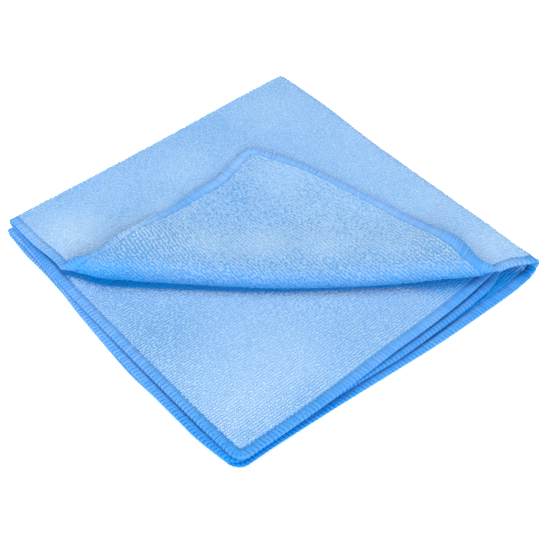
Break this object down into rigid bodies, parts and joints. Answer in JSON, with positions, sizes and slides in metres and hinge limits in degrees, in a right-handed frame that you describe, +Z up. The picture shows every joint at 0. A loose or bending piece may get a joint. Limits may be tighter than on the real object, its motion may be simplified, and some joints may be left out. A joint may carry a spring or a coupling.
{
  "type": "microfibre cloth",
  "caption": "Square cleaning cloth of soft looped pile with an overlocked hem all round, folded into a square packet with its top corner turned back in a soft roll.",
  "frame": {"origin": "centre of the packet's outline, on the surface that it lies on", "axes": "+Z up through the layers, first crease along the side at -X, second crease along the side at +Y, free hems at +X and -Y, turned-back corner towards +X -Y"},
  "size_m": [0.211, 0.2064, 0.0221],
  "materials": {
    "cloth": "matte"
  },
  "bodies": {
    "root": {"cloth": "cloth"}
  },
  "joints": []
}
